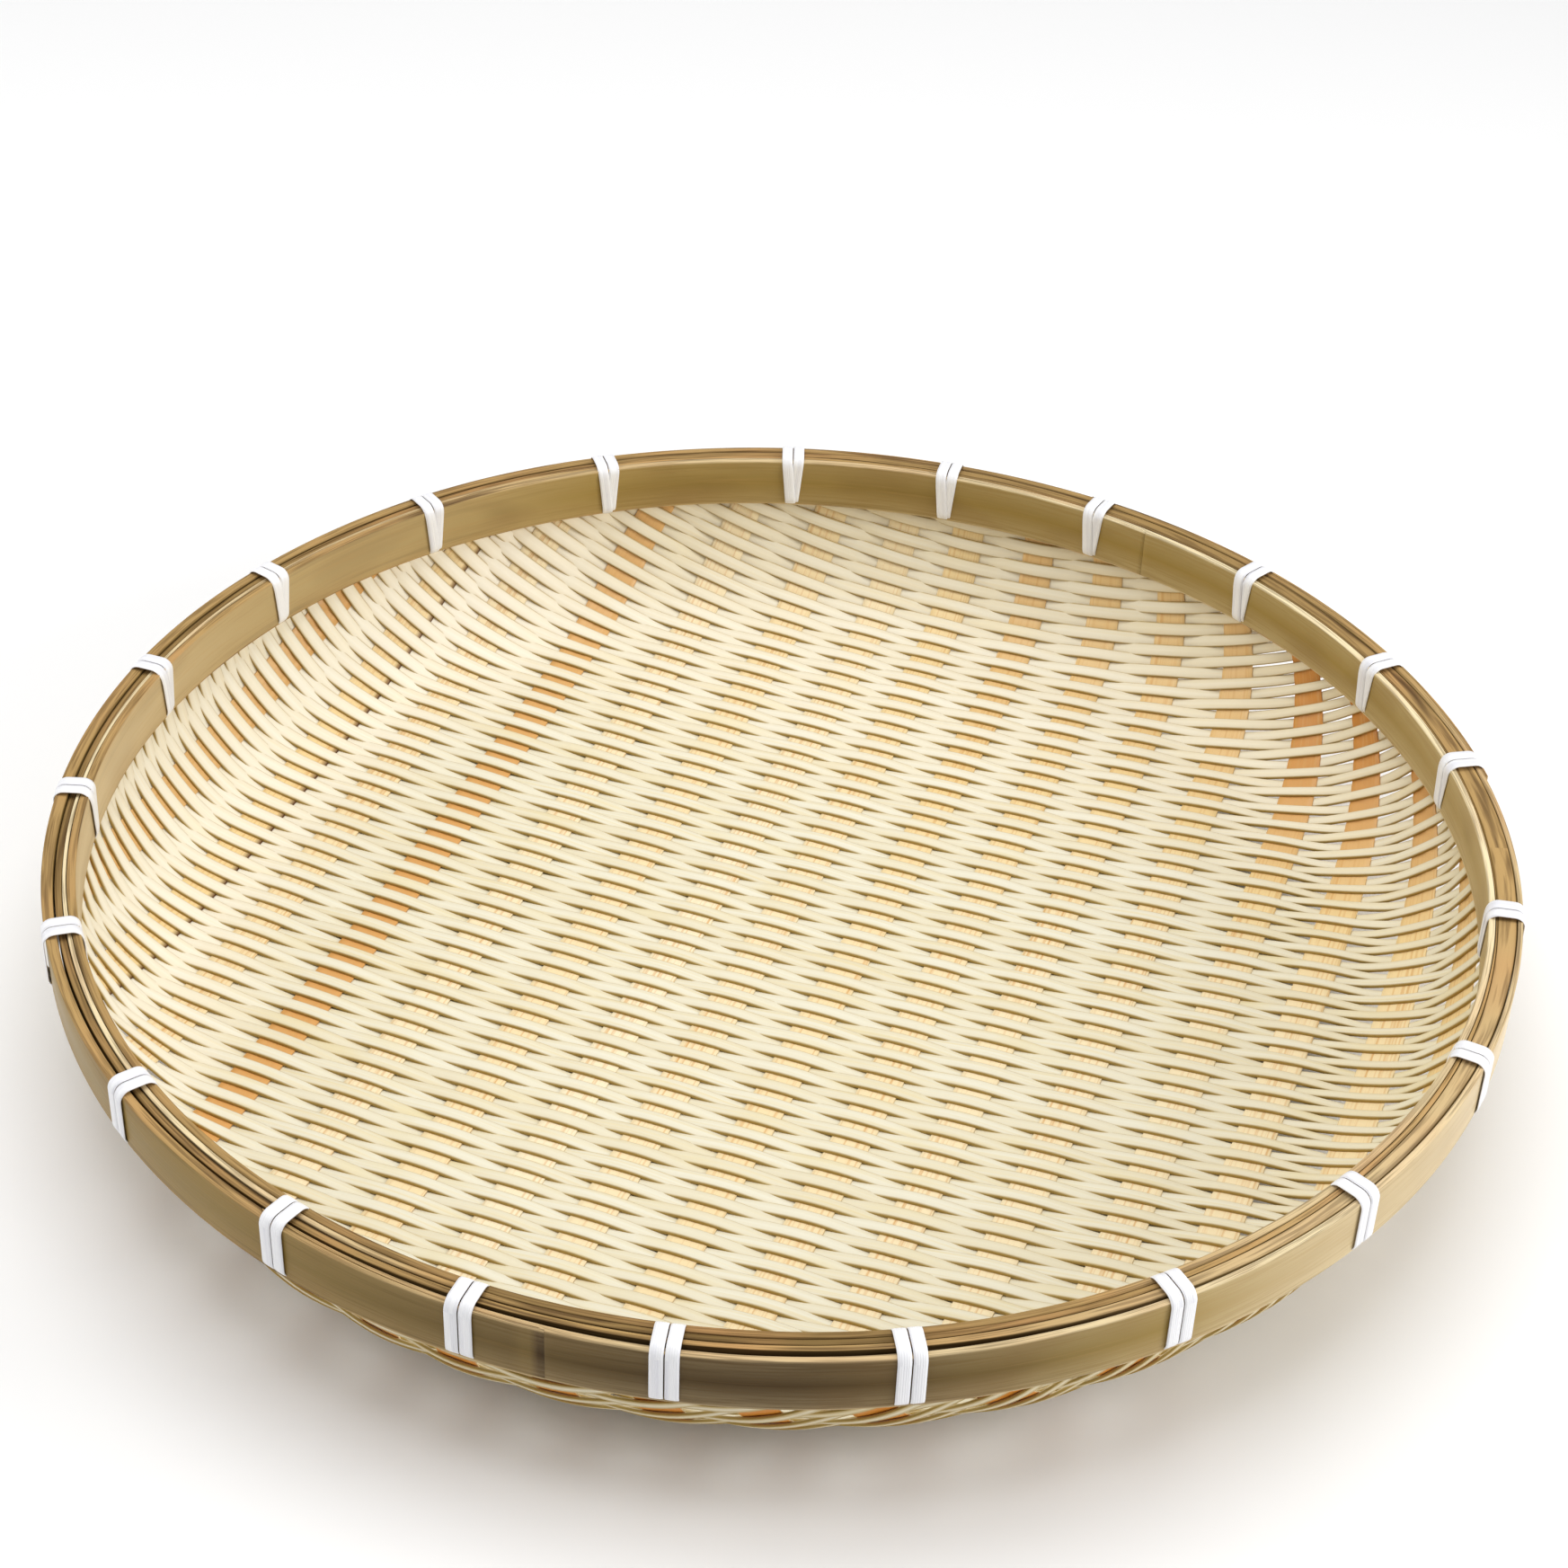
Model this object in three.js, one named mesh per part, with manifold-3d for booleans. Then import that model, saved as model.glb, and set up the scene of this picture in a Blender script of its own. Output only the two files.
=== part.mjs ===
// Bamboo winnowing tray: a plain-woven mat clamped between two bent hoops
// and tied at intervals with flat straps.
// Millimetres, +Z up. The tray rests on z = 0, centred on the origin.

import * as THREE from 'three';
import Module from 'manifold-3d';

// Rim: two hoops with two thin splints between them. The mat's edge stands
// between the splints.
const RIM_RADIUS = 240;
const HOOP_HEIGHT = 19;
const OUTER_HOOP_THICKNESS = 4.0;
const INNER_HOOP_THICKNESS = 2.6;
const SPLINT_THICKNESS = 1.0;
const SPLINT_TOP_DROP = 1.2;
const SPLINT_HEIGHT = 15;
const SEAT_GAP = 0.3;
const MAT_SLACK = 0.75;

// Each hoop is one strip whose tapered ends lap over each other.
const LAP_LENGTH = 92;
const LAP_TIP_THICKNESS = 0.9;
// The step down beside each tip is this long.
const LAP_NOTCH = 2;
const OUTER_LAP_ANGLE = 232;
const INNER_LAP_ANGLE = 50;

// Mat: narrow wefts over and under wide, thin warps.
const WARP_WIDTH = 13;
const WARP_THICKNESS = 0.6;
// The warps end this far above the mat's edge, between the hoops.
const WARP_END_RISE = 6;
// The outermost warps lie this far inside the mat's upright wall.
const OUTER_WARP_INSET = 5.65;
// Laid by hand, so the steps from one warp to the next are uneven. These are
// their shares of the way from the first warp to the last.
const WARP_STEP_SHARES = [30, 27, 34, 34, 34, 31, 27, 31, 31, 29, 31, 33, 28, 30, 26];
const WEFT_WIDTH = 4.3;
const WEFT_THICKNESS = 0.9;
const WEFT_SIDE_GAP = 0.7;
// The mat turns upright this far above the hoops' bottoms.
const WALL_INSERT = 0.4;
// The outermost wefts stay this many pitches inside the mat's edge.
const WEFT_MARGIN = 1.5;
// A crossing nearer the rim than this leaves a weft no room for a full swing.
const FULL_SWING = 10;
// A weft's first end is set this far up into its splint, at this share of the
// splint's thickness.
const SPLINT_BITE = 1.2;
const BURIED_SHARE = 0.8;
const SETTLE_PASSES = 6;
const WEAVE_ANGLE = -19.3;

// Dish: a shallow centre, a rounded corner, then a steep wall up to the rim.
const CORNER_RADIUS = 44;
const WALL_ANGLE = 85;
const DISH_EDGE_ANGLE = 7;
const FOOT_CUT = 0.5;

// Lashings, each one strap wound twice round the rim.
const LASHING_WIDTH = 8.7;
const LASHING_THICKNESS = 0.7;
const LASHING_TUCK = 2.2;
const FIRST_LASHING = 197.6;
// Hand-tied, so the steps are uneven. Clockwise, in degrees.
const LASHING_STEPS = [18, 18, 17, 18, 18, 18, 15, 15, 17, 17, 15, 20, 18, 18, 17, 19, 16, 14, 15, 18];

const RIM_FACETS = 48;
const CHORD_TOLERANCE = 0.7;
const MERGE_TOLERANCE = 0.1;

// Radii through the rim, from the outside in.
const OUTER_HOOP_INSIDE = RIM_RADIUS - OUTER_HOOP_THICKNESS;
const OUTER_SPLINT_OUTSIDE = OUTER_HOOP_INSIDE - SEAT_GAP;
const OUTER_SPLINT_INSIDE = OUTER_SPLINT_OUTSIDE - SPLINT_THICKNESS;
const MAT_RADIUS = OUTER_SPLINT_INSIDE - MAT_SLACK - WARP_THICKNESS / 2;
const INNER_SPLINT_OUTSIDE = MAT_RADIUS - WARP_THICKNESS / 2 - MAT_SLACK;
const INNER_SPLINT_INSIDE = INNER_SPLINT_OUTSIDE - SPLINT_THICKNESS;
const INNER_HOOP_OUTSIDE = INNER_SPLINT_INSIDE - SEAT_GAP;
const INNER_HOOP_INSIDE = INNER_HOOP_OUTSIDE - INNER_HOOP_THICKNESS;

const LAST_WARP = MAT_RADIUS - OUTER_WARP_INSET;
const WARP_SHARE = 2 * LAST_WARP / WARP_STEP_SHARES.reduce((sum, share) => sum + share);

const radians = (degrees) => THREE.MathUtils.degToRad(degrees);
const wall = radians(WALL_ANGLE);
const dishEdge = radians(DISH_EDGE_ANGLE);

// The mat's half thickness at a crossing: half a warp, a gap and half a weft.
const CROSSING_LIFT = WARP_THICKNESS / 2 + SEAT_GAP + WEFT_THICKNESS / 2;
// A straight weft has this share of its lift left at a warp's edge.
const MIDDLE_STEP = WARP_SHARE * WARP_STEP_SHARES[Math.floor(WARP_STEP_SHARES.length / 2)];
const LIFT_AT_WARP_EDGE = 1 - WARP_WIDTH / MIDDLE_STEP;
const FLAT_LIFT = CROSSING_LIFT / LIFT_AT_WARP_EDGE;
// At the rim the mat bends sharply, so there the wefts stand further off.
const RIM_LIFT = CROSSING_LIFT + SEAT_GAP;

// The mat's middle surface as a meridian: s is the distance along it from
// the centre, which equals the distance in the flat mat before it is bent.
const DISH_RADIUS = MAT_RADIUS - CORNER_RADIUS * (Math.sin(wall) - Math.sin(dishEdge));
const DISH_RISE = DISH_RADIUS * Math.tan(dishEdge) / 3;
const MAT_EDGE = DISH_RADIUS + CORNER_RADIUS * (wall - dishEdge);
const CENTRE_Z = FLAT_LIFT + WEFT_THICKNESS / 2 - FOOT_CUT;
const MAT_EDGE_Z = CENTRE_Z + DISH_RISE + CORNER_RADIUS * (Math.cos(dishEdge) - Math.cos(wall));
const HOOP_BOTTOM = MAT_EDGE_Z - WALL_INSERT;
const HOOP_TOP = HOOP_BOTTOM + HOOP_HEIGHT;
const SPLINT_TOP = HOOP_TOP - SPLINT_TOP_DROP;
const SPLINT_BOTTOM = SPLINT_TOP - SPLINT_HEIGHT;

function meridian(s) {
  if (s < DISH_RADIUS) {
    const share = s / DISH_RADIUS;
    const slope = Math.atan(Math.tan(dishEdge) * share ** 2);
    return { r: s, z: CENTRE_Z + DISH_RISE * share ** 3, slope, bend: 2 * Math.tan(dishEdge) * share / DISH_RADIUS };
  }
  if (s < MAT_EDGE - 0.01) {
    const slope = dishEdge + (s - DISH_RADIUS) / CORNER_RADIUS;
    return {
      r: DISH_RADIUS + CORNER_RADIUS * (Math.sin(slope) - Math.sin(dishEdge)),
      z: CENTRE_Z + DISH_RISE + CORNER_RADIUS * (Math.cos(dishEdge) - Math.cos(slope)),
      slope,
      bend: 1 / CORNER_RADIUS,
    };
  }
  return { r: MAT_RADIUS, z: MAT_EDGE_Z + s - MAT_EDGE, slope: Math.PI / 2, bend: 0 };
}

// The rim is a polygon, so the mat follows its flats more and more closely
// from the corner upwards.
function rimFlat(angle) {
  const half = Math.PI / RIM_FACETS;
  const turn = ((angle % (2 * half)) + 2 * half) % (2 * half);
  return Math.cos(half) / Math.cos(turn - half);
}

// A point of the flat mat (u along the wefts, v across them), bent into the
// dish and lifted off its middle surface, towards the inside when positive.
function matPoint(u, v, lift) {
  const s = Math.hypot(u, v);
  const m = meridian(s);
  const angle = Math.atan2(v, u) + radians(WEAVE_ANGLE);
  let r = m.r - lift * Math.sin(m.slope);
  const raised = THREE.MathUtils.clamp((s - DISH_RADIUS) / (MAT_EDGE - DISH_RADIUS), 0, 1);
  r *= THREE.MathUtils.lerp(1, rimFlat(angle), raised);
  return new THREE.Vector3(r * Math.cos(angle), r * Math.sin(angle), m.z + lift * Math.cos(m.slope));
}

// How hard the dish bends a weft that passes (u, v).
function weftBend(u, v) {
  const s = Math.hypot(u, v);
  if (s < 1) return 0;
  const m = meridian(s);
  const along = (u / s) ** 2;
  return along * m.bend + (1 - along) * Math.sin(m.slope) / m.r;
}

// A closed solid from a row of sections that all have the same corners.
// turned(row, corner) says which of its two diagonals a side is folded on.
function loft(sections, closed = false, turned = () => false) {
  const corners = sections[0].length;
  const rows = sections.length;
  const positions = sections.flat().flatMap((p) => [p.x, p.y, p.z]);
  const index = [];
  const last = closed ? rows : rows - 1;
  for (let row = 0; row < last; row += 1) {
    for (let c = 0; c < corners; c += 1) {
      const a = row * corners + c;
      const b = row * corners + ((c + 1) % corners);
      const up = ((row + 1) % rows) * corners;
      const d = up + c;
      const e = up + ((c + 1) % corners);
      if (turned(row, c)) index.push(a, b, d, b, e, d);
      else index.push(a, b, e, a, e, d);
    }
  }
  if (!closed) {
    const end = (rows - 1) * corners;
    for (let c = 1; c < corners - 1; c += 1) {
      index.push(0, c + 1, c);
      index.push(end, end + c, end + c + 1);
    }
  }
  return facingOut(positions, index);
}

function facingOut(positions, index) {
  const geometry = new THREE.BufferGeometry();
  geometry.setAttribute('position', new THREE.Float32BufferAttribute(positions, 3));
  let volume = 0;
  const p = (i) => new THREE.Vector3(positions[3 * i], positions[3 * i + 1], positions[3 * i + 2]);
  for (let i = 0; i < index.length; i += 3) {
    volume += p(index[i]).dot(p(index[i + 1]).cross(p(index[i + 2])));
  }
  if (volume < 0) {
    for (let i = 0; i < index.length; i += 3) {
      [index[i + 1], index[i + 2]] = [index[i + 2], index[i + 1]];
    }
  }
  geometry.setIndex(index);
  return geometry;
}

// Hoops and splints.

function polar(radius, angle, z) {
  return new THREE.Vector3(radius * Math.cos(angle), radius * Math.sin(angle), z);
}

function bandSection(inside, outside, bottom, top, angle) {
  return [
    polar(inside, angle, bottom),
    polar(outside, angle, bottom),
    polar(outside, angle, top),
    polar(inside, angle, top),
  ];
}

// One bent strip. Over the lap its first end thins on the outside and its
// last end thins on the inside, with a seat gap between the two slopes. Past
// each tip a short notch leads back to the full thickness.
function hoop(inside, outside, startAngle) {
  const step = 2 * Math.PI / RIM_FACETS;
  const start = Math.round(radians(startAngle) / step) * step;
  const turn = 2 * Math.PI;
  const lap = LAP_LENGTH / outside;
  const notch = LAP_NOTCH / outside;
  const slope = (outside - inside - 2 * LAP_TIP_THICKNESS) / lap;
  const last = turn + lap - SEAT_GAP / outside;
  const places = [0, lap, lap + notch, turn - notch, last];
  for (let place = step; place < last; place += step) places.push(place);
  places.sort((a, b) => a - b);
  const sections = places.map((place) => {
    let low = inside;
    let high = outside;
    if (place < lap + notch / 2) high -= LAP_TIP_THICKNESS + SEAT_GAP / 2 + slope * (lap - place);
    if (place > turn - notch / 2) low += LAP_TIP_THICKNESS + SEAT_GAP / 2 + slope * (place - turn);
    const flat = rimFlat(start + place);
    return bandSection(low * flat, high * flat, HOOP_BOTTOM, HOOP_TOP, start + place);
  });
  return loft(sections);
}

function splint(inside, outside) {
  const sections = [];
  for (let k = 0; k < RIM_FACETS; k += 1) {
    sections.push(bandSection(inside, outside, SPLINT_BOTTOM, SPLINT_TOP, 2 * Math.PI * k / RIM_FACETS));
  }
  return loft(sections, true);
}

// Warps.

// Places along a curve between two of them, closer together where it bends
// more, so that its straight stretches lie within the tolerance.
function stations(from, to, point) {
  if (to - from < CHORD_TOLERANCE) return [to];
  const middle = (from + to) / 2;
  const off = point(middle).distanceTo(point(from).lerp(point(to), 0.5));
  if (off < CHORD_TOLERANCE) return [from, to];
  return [...stations(from, middle, point), ...stations(middle, to, point).slice(1)];
}

const reach = (radius, u) => Math.sqrt(Math.max(0, radius ** 2 - u ** 2));

// Half of a warp at u: the places along v of one line along it, outwards from
// the middle. The line furthest out meets the rim first, so towards the rim
// the places slant, and the warp's end is cut to follow the rim.
function warpLine(u, line) {
  const onMat = (v) => matPoint(u, v, 0);
  const corner = reach(DISH_RADIUS, u);
  const rim = reach(MAT_EDGE, Math.abs(u) - WARP_WIDTH / 2);
  const slanted = (v) => THREE.MathUtils.mapLinear(v, corner, rim, corner, reach(MAT_EDGE, line));
  return [
    ...stations(0, corner, onMat),
    ...stations(corner, rim, onMat).slice(1).map(slanted),
    reach(MAT_EDGE + WARP_END_RISE, line),
  ];
}

function warp(u) {
  // The outermost warps have a long slant, so they get a line in their middle.
  const slant = reach(MAT_EDGE, Math.abs(u) - WARP_WIDTH / 2) - reach(MAT_EDGE, Math.abs(u) + WARP_WIDTH / 2);
  const shares = slant > 2 * WARP_WIDTH ? [-1, 0, 1] : [-1, 1];
  const lines = shares.map((share) => u + share * WARP_WIDTH / 2);
  const half = lines.map((line) => warpLine(u, line));
  const rows = half[0].length;
  const sections = [];
  for (let row = 1 - rows; row < rows; row += 1) {
    const face = (lift) => lines.map((line, i) => matPoint(line, Math.sign(row) * half[i][Math.abs(row)], lift));
    sections.push([...face(-WARP_THICKNESS / 2), ...face(WARP_THICKNESS / 2).reverse()]);
  }
  // Its faces fold on the diagonal that follows the rim.
  const turned = (row, corner) => ((u > 0) === (row < rows - 1)) === (corner >= shares.length);
  return loft(sections, false, turned);
}

// Wefts.

// Three corners: flat towards the outside, ridged towards the inside.
function weftSection(u, v, lift, thickness = WEFT_THICKNESS) {
  return [
    matPoint(u, v - WEFT_WIDTH / 2, lift - thickness / 2),
    matPoint(u, v + WEFT_WIDTH / 2, lift - thickness / 2),
    matPoint(u, v, lift + thickness / 2),
  ];
}

const warpPlaces = [-LAST_WARP];
for (const share of WARP_STEP_SHARES) warpPlaces.push(warpPlaces.at(-1) + share * WARP_SHARE);

const weftPitch = WEFT_WIDTH + WEFT_SIDE_GAP;
const weftCount = 2 * Math.floor(MAT_EDGE / weftPitch - WEFT_MARGIN) + 1;

// +1 where the weft passes on the inside of the warp, -1 on the outside.
const sideOf = (weft, warpNumber) => ((weft + warpNumber) % 2 === 0 ? 1 : -1);

// The middle of the warp at u, straight between its sections, where it meets
// v. The share runs over its width: -1 and 1 are its edges, 0 its middle.
function onWarp(u, v, share) {
  const edge = (side) => {
    const line = u + side * WARP_WIDTH / 2;
    const places = warpLine(u, line);
    const next = Math.max(1, places.findIndex((place) => place > Math.abs(v)));
    const at = (place) => matPoint(line, Math.sign(v) * place, 0);
    const along = THREE.MathUtils.inverseLerp(places[next - 1], places[next], Math.abs(v));
    return at(places[next - 1]).lerp(at(places[next]), along);
  };
  return edge(-1).lerp(edge(1), (share + 1) / 2);
}

// One weft's crossings with their lifts. A weft is straight between its
// crossings, so each lift is the least that clears the warp at its middle and
// edges. It depends on the lifts beside it, and a few passes settle it.
function settle(row, v) {
  const at = (place) => matPoint(place.u, v, place.lift);
  for (let pass = 0; pass < SETTLE_PASSES; pass += 1) {
    row.forEach((place, i) => {
      if (place.held) return;
      const short = [-1, 0, 1].map((share) => {
        const next = row[i + share];
        const moved = share === 0 ? 0 : (WARP_WIDTH / 2) / Math.abs(next.u - place.u);
        const u = place.u + share * WARP_WIDTH / 2;
        const upright = matPoint(u, v, 1).sub(matPoint(u, v, 0));
        const clear = at(place).lerp(at(next), moved).sub(onWarp(place.u, v, share)).dot(upright);
        return (CROSSING_LIFT - place.side * clear) / (1 - moved);
      });
      place.lift += place.side * Math.max(...short);
    });
  }
}

// Half of a weft, outwards: its places along u and its side of each warp. It
// goes up into the rim on the side of the last warp that it meets.
function weftHalf(number, v, direction) {
  const edge = reach(MAT_EDGE, v);
  const row = [];
  let side = 1;
  const ahead = warpPlaces.filter((u) => u * direction > 0 && Math.abs(u) - WARP_WIDTH / 2 < edge + SEAT_GAP);
  for (const u of direction > 0 ? ahead : ahead.reverse()) {
    const near = u - direction * (WARP_WIDTH / 2 + SEAT_GAP);
    side = sideOf(number, warpPlaces.indexOf(u));
    if (Math.abs(u) < edge - FULL_SWING) {
      row.push({ u, side, lift: side * CROSSING_LIFT });
    } else if (near * direction > 0 && Math.abs(near) < edge - SEAT_GAP) {
      // Too near the rim for a full swing, so it bends at the warp's edge.
      const surface = matPoint(near, v, 0);
      const upright = matPoint(near, v, 1).sub(surface);
      const inset = onWarp(u, v, -direction).sub(surface).dot(upright);
      const outset = weftBend(u, v) * (edge - Math.abs(near)) ** 2 / 4;
      row.push({ u: near, side, lift: side * (RIM_LIFT + (side < 0 ? outset : inset)), held: true });
    }
  }
  row.push({ u: direction * edge, side, lift: side * RIM_LIFT, held: true });
  return row;
}

function weft(number) {
  const v = (number - (weftCount - 1) / 2) * weftPitch;
  const row = [...weftHalf(number, v, -1).reverse(), ...weftHalf(number, v, 1)];
  settle(row, v);
  const startSide = row[0].side;
  const bitten = MAT_EDGE + SPLINT_BOTTOM - MAT_EDGE_Z + SPLINT_BITE;
  const splintLift = startSide * (WARP_THICKNESS / 2 + MAT_SLACK + SPLINT_THICKNESS / 2);
  const sections = [weftSection(-reach(bitten, v), v, splintLift, SPLINT_THICKNESS * BURIED_SHARE)];
  for (const place of row) sections.push(weftSection(place.u, v, place.lift));
  return { startSide, geometry: loft(sections) };
}

// Lashings.

function lashing(degrees) {
  const inside = INNER_HOOP_INSIDE * Math.cos(Math.PI / RIM_FACETS) - SEAT_GAP;
  const outside = RIM_RADIUS + SEAT_GAP;
  const bottom = HOOP_BOTTOM - SEAT_GAP;
  const top = HOOP_TOP + SEAT_GAP;
  const t = LASHING_THICKNESS;
  const outline = [
    [inside + LASHING_TUCK, bottom],
    [inside, bottom],
    [inside, top],
    [outside, top],
    [outside, bottom],
    [outside - LASHING_TUCK, bottom],
    [outside - LASHING_TUCK, bottom - t],
    [outside + t, bottom - t],
    [outside + t, top + t],
    [inside - t, top + t],
    [inside - t, bottom - t],
    [inside + LASHING_TUCK, bottom - t],
  ];
  const shape = new THREE.Shape(outline.map(([r, z]) => new THREE.Vector2(r, z)));
  const geometry = new THREE.ExtrudeGeometry(shape, { depth: LASHING_WIDTH, bevelEnabled: false });
  geometry.translate(0, 0, -LASHING_WIDTH / 2);
  geometry.rotateX(Math.PI / 2);
  geometry.rotateZ(radians(degrees));
  return geometry;
}

// Assembly.

const material = (colour, roughness) => new THREE.MeshStandardMaterial({ color: colour, roughness, metalness: 0 });
const MATERIALS = {
  hoop: material(0x9c8450, 0.45),
  weft: material(0xe9dcae, 0.55),
  warp: material(0xd9b36c, 0.55),
  strap: material(0xf2f2f0, 0.35),
};

const tray = new THREE.Group();
tray.name = 'bamboo_tray';

function add(name, geometry, surface) {
  const mesh = new THREE.Mesh(geometry, surface.clone());
  mesh.name = name;
  tray.add(mesh);
}

const wasm = await Module();
wasm.setup();

function toManifold(geometry) {
  const mesh = new wasm.Mesh({
    numProp: 3,
    vertProperties: new Float32Array(geometry.attributes.position.array),
    triVerts: new Uint32Array(geometry.index.array),
  });
  mesh.merge();
  return new wasm.Manifold(mesh);
}

function fromManifold(solid) {
  const mesh = solid.getMesh();
  return facingOut(Array.from(mesh.vertProperties), Array.from(mesh.triVerts));
}

const wefts = [];
for (let number = 0; number < weftCount; number += 1) wefts.push(weft(number));

// The wefts whose first end stands outside the warps are held by the outer
// splint and the others by the inner one. Below z = 0 the mat is cut flat.
function weftSet(side, inside, outside) {
  const solids = wefts.filter((w) => w.startSide === side).map((w) => toManifold(w.geometry));
  const joined = wasm.Manifold.union([toManifold(splint(inside, outside)), ...solids]);
  return fromManifold(joined.trimByPlane([0, 0, 1], 0).asOriginal().simplify(MERGE_TOLERANCE));
}

add('outer_hoop', hoop(OUTER_HOOP_INSIDE, RIM_RADIUS, OUTER_LAP_ANGLE), MATERIALS.hoop);
add('inner_hoop', hoop(INNER_HOOP_INSIDE, INNER_HOOP_OUTSIDE, INNER_LAP_ANGLE), MATERIALS.hoop);
add('wefts_on_outer_splint', weftSet(-1, OUTER_SPLINT_INSIDE, OUTER_SPLINT_OUTSIDE), MATERIALS.weft);
add('wefts_on_inner_splint', weftSet(1, INNER_SPLINT_INSIDE, INNER_SPLINT_OUTSIDE), MATERIALS.weft);

warpPlaces.forEach((u, i) => {
  add(`warp_${String(i + 1).padStart(2, '0')}`, warp(u), MATERIALS.warp);
});

let lashingAngle = FIRST_LASHING;
[0, ...LASHING_STEPS].forEach((step, i) => {
  lashingAngle -= step;
  add(`lashing_${String(i + 1).padStart(2, '0')}`, lashing(lashingAngle), MATERIALS.strap);
});

export default tray;
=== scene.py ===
# %% [markdown]
# # A round bamboo tray
# A plain-woven mat is pressed into a shallow dish and its edge is clamped
# between two bent hoops. Flat straps tie the rim together. Each piece of the
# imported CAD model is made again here, in the same place, with the detail that
# the camera sees: domed splints, fibres, gloss and ties.

# %% Load the frame
import math
import bpy
import numpy as np
from mathutils import Matrix, Vector


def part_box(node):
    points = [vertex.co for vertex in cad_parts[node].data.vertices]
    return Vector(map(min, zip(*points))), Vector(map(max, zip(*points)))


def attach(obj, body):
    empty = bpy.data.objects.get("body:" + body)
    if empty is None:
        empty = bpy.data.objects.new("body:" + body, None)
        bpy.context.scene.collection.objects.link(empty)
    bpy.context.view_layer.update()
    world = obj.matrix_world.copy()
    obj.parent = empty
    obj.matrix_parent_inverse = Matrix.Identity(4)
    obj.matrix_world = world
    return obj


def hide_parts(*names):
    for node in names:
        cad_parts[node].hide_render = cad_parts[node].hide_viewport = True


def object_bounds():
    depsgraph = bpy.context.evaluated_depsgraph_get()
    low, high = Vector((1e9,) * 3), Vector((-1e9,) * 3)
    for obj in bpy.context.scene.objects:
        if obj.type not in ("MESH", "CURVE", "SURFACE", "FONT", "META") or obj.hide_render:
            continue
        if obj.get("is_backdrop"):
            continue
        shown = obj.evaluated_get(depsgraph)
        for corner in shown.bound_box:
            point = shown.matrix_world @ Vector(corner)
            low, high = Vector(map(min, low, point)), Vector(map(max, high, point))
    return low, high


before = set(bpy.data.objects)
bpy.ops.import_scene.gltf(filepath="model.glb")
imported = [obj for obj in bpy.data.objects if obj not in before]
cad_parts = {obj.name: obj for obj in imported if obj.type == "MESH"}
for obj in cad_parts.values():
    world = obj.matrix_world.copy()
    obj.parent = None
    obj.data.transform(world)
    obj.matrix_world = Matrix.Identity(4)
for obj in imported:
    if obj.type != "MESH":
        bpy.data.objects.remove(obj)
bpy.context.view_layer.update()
MM = 0.001

# %% [markdown]
# ## The camera
# The tray was photographed from the front, about 37 degrees above the table,
# with a long lens. Focal length, height, distance and roll were worked out
# from the ellipse of the rim. A small shift puts the tray where it is in the
# photograph, because moving the camera would change the view.

# %% Camera
rim_low, rim_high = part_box("outer_hoop")
HOOP_TOP = rim_high.z
HOOP_BOTTOM = rim_low.z
RIM_RADIUS = 240 * MM

# Angles in radians, the distance in metres and the lens in millimetres.
ELEVATION = 0.64965
ROLL = 0.03935
DISTANCE = 1.0275
LENS = 71.73
SENSOR_WIDTH = 36
SHIFT_X = -0.0008
SHIFT_Y = 0.0226
FAR_CLIP = 50
camera = bpy.data.objects.new("camera", bpy.data.cameras.new("camera"))
bpy.context.scene.collection.objects.link(camera)
bpy.context.scene.camera = camera
back = Vector((0, -math.cos(ELEVATION), math.sin(ELEVATION)))
level_up = Vector((1, 0, 0)).cross(-back)
right = math.cos(ROLL) * Vector((1, 0, 0)) + math.sin(ROLL) * level_up
up = -math.sin(ROLL) * Vector((1, 0, 0)) + math.cos(ROLL) * level_up
axes = Matrix((right, up, back)).transposed().to_4x4()
camera.matrix_world = Matrix.Translation(Vector((0, 0, HOOP_TOP)) + back * DISTANCE) @ axes
camera.data.lens = LENS
camera.data.sensor_width = SENSOR_WIDTH
camera.data.shift_x = SHIFT_X
camera.data.shift_y = SHIFT_Y
camera.data.clip_end = FAR_CLIP
print("camera at", [round(x, 3) for x in camera.location])

# %% [markdown]
# ## Studio
# Three soft lights and an even white world. The floor comes at the end. The
# main softbox hangs above the tray, a little behind and to the left of its
# middle, so the splints' front sides and the front of the rim lie in soft
# shade, as they do in the photograph. Two smaller ones brighten the sides,
# the right one more.

# %% Lights
scene = bpy.context.scene
scene.view_settings.view_transform = "Standard"
LIGHT_TARGET = Vector((0, 0, 0.04))
WORLD_STRENGTH = 0.5


def softbox(name, place, size, power):
    light = bpy.data.lights.new(name, "AREA")
    light.shape = "DISK"
    light.size = size
    light.energy = power
    lamp = bpy.data.objects.new(name, light)
    lamp.location = place
    lamp.rotation_euler = (LIGHT_TARGET - Vector(place)).to_track_quat("-Z", "Y").to_euler()
    scene.collection.objects.link(lamp)


softbox("top_softbox", (-0.1, 0.15, 1.8), 1.8, 20.5)
softbox("left_softbox", (-1.6, 0.1, 0.8), 0.9, 6)
softbox("right_softbox", (1.6, -0.35, 0.7), 0.9, 15)

world = bpy.data.worlds.new("studio")
scene.world = world
world.use_nodes = True
world.node_tree.nodes["Background"].inputs["Color"].default_value = (1, 1, 1, 1)
world.node_tree.nodes["Background"].inputs["Strength"].default_value = WORLD_STRENGTH
print("lights:", len(bpy.data.lights))

# %% [markdown]
# ## Building strips
# Everything on the tray is a strip of bamboo or plastic that follows a path.
# Blender's curves could sweep a profile, but a strip here bends with the dish,
# changes its width and twists round its neighbours. So each strip is a table
# of points, one row for each section along it, and one function joins the
# rows to a closed mesh. It also writes a UV map in metres, along and across
# the strip, which the grain later follows.

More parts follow.
